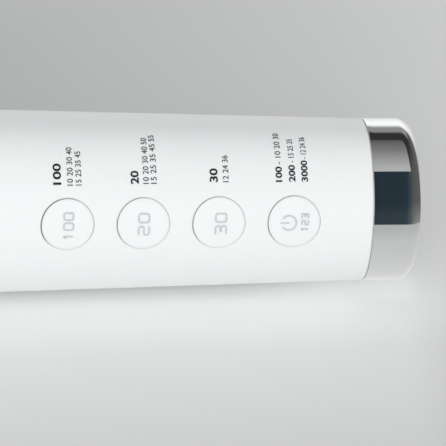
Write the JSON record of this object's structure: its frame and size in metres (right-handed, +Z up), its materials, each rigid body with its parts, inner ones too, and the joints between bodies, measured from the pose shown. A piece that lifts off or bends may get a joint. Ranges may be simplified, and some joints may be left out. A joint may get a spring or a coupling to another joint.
{
  "type": "facial toning device",
  "caption": "Handheld facial toning wand: tapered round handle with flush buttons, chrome base cap and a bent head with light window and metal electrodes, lying on its side.",
  "frame": {"origin": "On the surface it lies on, under the middle of its bounding box", "axes": "+Z up from the surface; the handle runs along X with the treatment head towards -X and the chrome cap towards +X; the buttons look out towards -Y, 22 degrees above level"},
  "size_m": [0.1906, 0.0539, 0.0528],
  "materials": {
    "shell_white": "glossy moulded white",
    "button_white": "satin moulded white",
    "polished_chrome": "mirror polished",
    "seal_grey": "matte silicone",
    "frosted_window": "frosted translucent",
    "plate_white": "glossy moulded white",
    "electrode_metal": "polished stainless steel",
    "socket_steel": "drawn steel",
    "board_green": "solder mask",
    "switch_black": "moulded black",
    "coil_yellow": "taped winding",
    "light_clear": "clear resin",
    "can_metal": "drawn can",
    "screw_steel": "zinc plated",
    "battery_wrap": "shrink wrapped cell",
    "foam_grey": "closed foam",
    "inner_plastic": "moulded natural white",
    "motor_steel": "plated steel",
    "led_red": "clear red resin",
    "led_blue": "clear blue resin",
    "led_green": "clear green resin",
    "wire_red": "insulated wire",
    "wire_black": "insulated wire"
  },
  "bodies": {
    "wand": {"handle_shell": "shell_white", "main_board": "board_green", "switch_housings": "switch_black", "button_lights": "light_clear", "controller_chip": "switch_black", "storage_capacitors": "can_metal", "power_transformer": "coil_yellow", "board_screws": "screw_steel", "battery": "battery_wrap", "battery_pad": "foam_grey", "chassis": "inner_plastic", "motor_can": "motor_steel", "motor_sleeve": "seal_grey", "motor_clamp": "inner_plastic", "clamp_screws": "screw_steel", "base_cap": "polished_chrome", "cap_seal": "seal_grey", "cap_core": "inner_plastic", "charge_board": "board_green", "usb_socket": "socket_steel", "base_screws": "screw_steel", "head_shell": "shell_white", "neck_seal": "seal_grey", "neck_screws": "screw_steel", "face_carrier": "inner_plastic", "face_seal": "seal_grey", "head_ring": "polished_chrome", "light_ring": "frosted_window", "electrode_plate": "plate_white", "outer_electrodes": "electrode_metal", "centre_electrode": "electrode_metal", "led_board": "board_green", "red_leds": "led_red", "blue_leds": "led_blue", "green_leds": "led_green", "face_screws": "screw_steel", "battery_leads": "wire_red", "motor_leads": "wire_black", "charge_leads": "wire_red", "face_harness": "wire_black"},
    "power_key": {"power_button": "button_white", "switch_plunger_4": "switch_black"},
    "mode_key_3": {"mode_button_3": "button_white", "switch_plunger_3": "switch_black"},
    "mode_key_2": {"mode_button_2": "button_white", "switch_plunger_2": "switch_black"},
    "mode_key_1": {"mode_button_1": "button_white", "switch_plunger_1": "switch_black"},
    "motor_rotor": {"motor_shaft": "motor_steel", "eccentric_weight": "motor_steel"}
  },
  "joints": [
    {"name": "power_press", "type": "slide", "parent": "wand", "child": "power_key", "axis": [-0.0354, 0.9269, -0.3737], "range_m": [0, 0.0005], "stiffness_N_per_m": 1500, "springref_m": -0.0003},
    {"name": "mode_press_3", "type": "slide", "parent": "wand", "child": "mode_key_3", "axis": [-0.0354, 0.9269, -0.3737], "range_m": [0, 0.0005], "stiffness_N_per_m": 1500, "springref_m": -0.0003},
    {"name": "mode_press_2", "type": "slide", "parent": "wand", "child": "mode_key_2", "axis": [-0.0354, 0.9269, -0.3737], "range_m": [0, 0.0005], "stiffness_N_per_m": 1500, "springref_m": -0.0003},
    {"name": "mode_press_1", "type": "slide", "parent": "wand", "child": "mode_key_1", "axis": [-0.0354, 0.9269, -0.3737], "range_m": [0, 0.0005], "stiffness_N_per_m": 1500, "springref_m": -0.0003},
    {"name": "motor_spin", "type": "hinge", "parent": "wand", "child": "motor_rotor", "pos_m": [-0.02824, 0.00622, 0.02181], "axis": [-0.9997, 0, 0.0247], "continuous": true}
  ]
}
